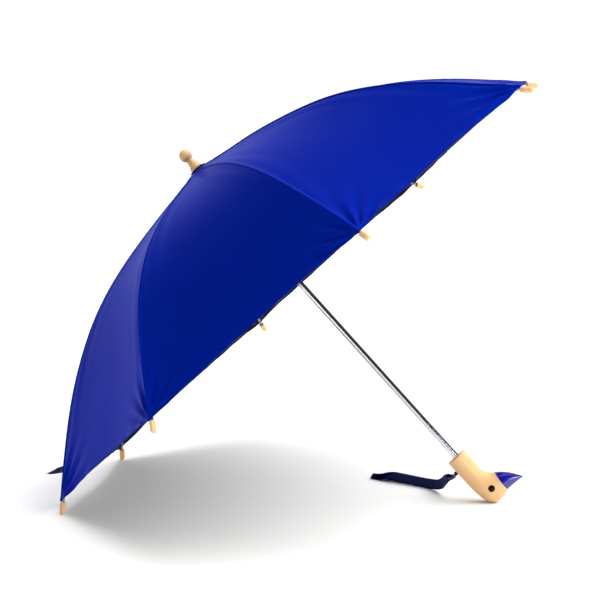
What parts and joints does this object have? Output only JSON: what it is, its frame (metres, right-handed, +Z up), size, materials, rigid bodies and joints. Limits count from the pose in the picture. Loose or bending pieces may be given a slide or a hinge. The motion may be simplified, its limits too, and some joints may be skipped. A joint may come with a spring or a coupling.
{
  "type": "stick umbrella",
  "caption": "Child's manual stick umbrella with a domed fabric canopy on hinged ribs, a tubular shaft, a turned finial and a duck-head handle.",
  "frame": {"origin": "on the floor, under the middle of the bounding box of the open umbrella as it lies on two rib tips and its head", "axes": "+Z up from the floor, +X towards the handle and the beak, +Y across the canopy, away from the side that shows the strap's far run"},
  "size_m": [0.5574, 0.7298, 0.5036],
  "materials": {
    "chromed_tube": "bright chrome plate",
    "plated_steel": "zinc-plated steel strip",
    "moulded_black": "moulded acetal",
    "turned_beech": "clear satin lacquer; the duck's beak is painted glossy blue",
    "canopy_satin": "tightly woven polyester satin",
    "navy_ribbon": "woven polyester ribbon",
    "hook_tape": "hook and loop tape",
    "black_bead": "polished bead"
  },
  "bodies": {
    "root": {"shaft_tube": "chromed_tube", "stop_pin": "plated_steel", "top_notch": "moulded_black", "notch_wire": "plated_steel", "canopy_crown": "canopy_satin", "canopy_rosette": "navy_ribbon", "finial": "turned_beech", "handle": "turned_beech", "eye_far": "black_bead", "eye_near": "black_bead", "wrist_strap": "navy_ribbon"},
    "spoke_1": {"rib_1": "plated_steel", "canopy_panel_1": "canopy_satin", "rivet_1": "plated_steel", "rib_tip_1": "turned_beech"},
    "spoke_2": {"rib_2": "plated_steel", "canopy_panel_2": "canopy_satin", "rivet_2": "plated_steel", "rib_tip_2": "turned_beech"},
    "spoke_3": {"rib_3": "plated_steel", "canopy_panel_3": "canopy_satin", "rivet_3": "plated_steel", "rib_tip_3": "turned_beech"},
    "spoke_4": {"rib_4": "plated_steel", "canopy_panel_4": "canopy_satin", "rivet_4": "plated_steel", "rib_tip_4": "turned_beech"},
    "spoke_5": {"rib_5": "plated_steel", "canopy_panel_5": "canopy_satin", "rivet_5": "plated_steel", "rib_tip_5": "turned_beech", "tie_strap": "navy_ribbon", "tie_hook_patch": "hook_tape", "tie_loop_patch": "hook_tape"},
    "spoke_6": {"rib_6": "plated_steel", "canopy_panel_6": "canopy_satin", "rivet_6": "plated_steel", "rib_tip_6": "turned_beech"},
    "spoke_7": {"rib_7": "plated_steel", "canopy_panel_7": "canopy_satin", "rivet_7": "plated_steel", "rib_tip_7": "turned_beech"},
    "spoke_8": {"rib_8": "plated_steel", "canopy_panel_8": "canopy_satin", "rivet_8": "plated_steel", "rib_tip_8": "turned_beech"},
    "strut_1": {"stretcher_1": "plated_steel"},
    "strut_2": {"stretcher_2": "plated_steel"},
    "strut_3": {"stretcher_3": "plated_steel"},
    "strut_4": {"stretcher_4": "plated_steel"},
    "strut_5": {"stretcher_5": "plated_steel"},
    "strut_6": {"stretcher_6": "plated_steel"},
    "strut_7": {"stretcher_7": "plated_steel"},
    "strut_8": {"stretcher_8": "plated_steel"},
    "runner_set": {"runner": "moulded_black", "runner_wire": "plated_steel"},
    "top_catch_set": {"top_catch": "plated_steel"},
    "bottom_catch_set": {"bottom_catch": "plated_steel"}
  },
  "joints": [
    {"name": "open_close", "type": "hinge", "parent": "root", "child": "spoke_1", "pos_m": [-0.11463, 0.00268, 0.39439], "axis": [-0.2797, 0.9239, -0.2612], "range_deg": [0, 62.5], "deforming": ["canopy_panel_1"]},
    {"name": "rib_fold_2", "type": "hinge", "parent": "root", "child": "spoke_2", "pos_m": [-0.1174, 0.00647, 0.39181], "axis": [-0.6752, 0.3827, -0.6307], "range_deg": [0, 62.5], "deforming": ["canopy_panel_2"]},
    {"name": "rib_fold_3", "type": "hinge", "parent": "root", "child": "spoke_3", "pos_m": [-0.12132, 0.00647, 0.38815], "axis": [-0.6752, -0.3827, -0.6307], "range_deg": [0, 62.5], "deforming": ["canopy_panel_3"]},
    {"name": "rib_fold_4", "type": "hinge", "parent": "root", "child": "spoke_4", "pos_m": [-0.12409, 0.00268, 0.38556], "axis": [-0.2797, -0.9239, -0.2612], "range_deg": [0, 62.5], "deforming": ["canopy_panel_4"]},
    {"name": "rib_fold_5", "type": "hinge", "parent": "root", "child": "spoke_5", "pos_m": [-0.12409, -0.00268, 0.38556], "axis": [0.2797, -0.9239, 0.2612], "range_deg": [0, 62.5], "deforming": ["canopy_panel_5", "tie_strap", "tie_hook_patch", "tie_loop_patch"]},
    {"name": "rib_fold_6", "type": "hinge", "parent": "root", "child": "spoke_6", "pos_m": [-0.12132, -0.00647, 0.38815], "axis": [0.6752, -0.3827, 0.6307], "range_deg": [0, 62.5], "deforming": ["canopy_panel_6"]},
    {"name": "rib_fold_7", "type": "hinge", "parent": "root", "child": "spoke_7", "pos_m": [-0.1174, -0.00647, 0.39181], "axis": [0.6752, 0.3827, 0.6307], "range_deg": [0, 62.5], "deforming": ["canopy_panel_7"]},
    {"name": "rib_fold_8", "type": "hinge", "parent": "root", "child": "spoke_8", "pos_m": [-0.11463, -0.00268, 0.39439], "axis": [0.2797, 0.9239, 0.2612], "range_deg": [0, 62.5], "deforming": ["canopy_panel_8"]},
    {"name": "stretcher_swing_1", "type": "hinge", "parent": "spoke_1", "child": "strut_1", "pos_m": [0.06162, 0.08206, 0.48645], "axis": [-0.2797, 0.9239, -0.2612], "range_deg": [-125, 0]},
    {"name": "stretcher_swing_2", "type": "hinge", "parent": "spoke_2", "child": "strut_2", "pos_m": [-0.02319, 0.19811, 0.40724], "axis": [-0.6752, 0.3827, -0.6307], "range_deg": [-125, 0]},
    {"name": "stretcher_swing_3", "type": "hinge", "parent": "spoke_3", "child": "strut_3", "pos_m": [-0.14313, 0.19811, 0.29521], "axis": [-0.6752, -0.3827, -0.6307], "range_deg": [-125, 0]},
    {"name": "stretcher_swing_4", "type": "hinge", "parent": "spoke_4", "child": "strut_4", "pos_m": [-0.22793, 0.08206, 0.21599], "axis": [-0.2797, -0.9239, -0.2612], "range_deg": [-125, 0]},
    {"name": "stretcher_swing_5", "type": "hinge", "parent": "spoke_5", "child": "strut_5", "pos_m": [-0.22793, -0.08206, 0.21599], "axis": [0.2797, -0.9239, 0.2612], "range_deg": [-125, 0]},
    {"name": "stretcher_swing_6", "type": "hinge", "parent": "spoke_6", "child": "strut_6", "pos_m": [-0.14313, -0.19811, 0.29521], "axis": [0.6752, -0.3827, 0.6307], "range_deg": [-125, 0]},
    {"name": "stretcher_swing_7", "type": "hinge", "parent": "spoke_7", "child": "strut_7", "pos_m": [-0.02319, -0.19811, 0.40724], "axis": [0.6752, 0.3827, 0.6307], "range_deg": [-125, 0]},
    {"name": "stretcher_swing_8", "type": "hinge", "parent": "spoke_8", "child": "strut_8", "pos_m": [0.06162, -0.08206, 0.48645], "axis": [0.2797, 0.9239, 0.2612], "range_deg": [-125, 0]},
    {"name": "runner_glide", "type": "hinge", "parent": "strut_1", "child": "runner_set", "pos_m": [-0.04223, 0.00268, 0.31688], "axis": [-0.2797, 0.9239, -0.2612], "range_deg": [0, 62.5]},
    {"name": "top_catch_press", "type": "hinge", "parent": "root", "child": "top_catch_set", "pos_m": [-0.00648, 0.0022, 0.26913], "axis": [0.7308, 0, 0.6826], "range_deg": [0, 7], "stiffness_Nm_per_rad": 0.05, "deforming": ["top_catch"]},
    {"name": "bottom_catch_press", "type": "hinge", "parent": "root", "child": "bottom_catch_set", "pos_m": [0.16664, 0.0022, 0.0838], "axis": [-0.7308, 0, -0.6826], "range_deg": [0, 7], "stiffness_Nm_per_rad": 0.05, "deforming": ["bottom_catch"]}
  ],
  "couplings": [
    {"joint": "rib_fold_2", "follows": "open_close", "ratio": 1},
    {"joint": "rib_fold_3", "follows": "open_close", "ratio": 1},
    {"joint": "rib_fold_4", "follows": "open_close", "ratio": 1},
    {"joint": "rib_fold_5", "follows": "open_close", "ratio": 1},
    {"joint": "rib_fold_6", "follows": "open_close", "ratio": 1},
    {"joint": "rib_fold_7", "follows": "open_close", "ratio": 1},
    {"joint": "rib_fold_8", "follows": "open_close", "ratio": 1},
    {"joint": "stretcher_swing_1", "follows": "open_close", "ratio": -2},
    {"joint": "stretcher_swing_2", "follows": "open_close", "ratio": -2},
    {"joint": "stretcher_swing_3", "follows": "open_close", "ratio": -2},
    {"joint": "stretcher_swing_4", "follows": "open_close", "ratio": -2},
    {"joint": "stretcher_swing_5", "follows": "open_close", "ratio": -2},
    {"joint": "stretcher_swing_6", "follows": "open_close", "ratio": -2},
    {"joint": "stretcher_swing_7", "follows": "open_close", "ratio": -2},
    {"joint": "stretcher_swing_8", "follows": "open_close", "ratio": -2},
    {"joint": "runner_glide", "follows": "open_close", "ratio": 1}
  ]
}
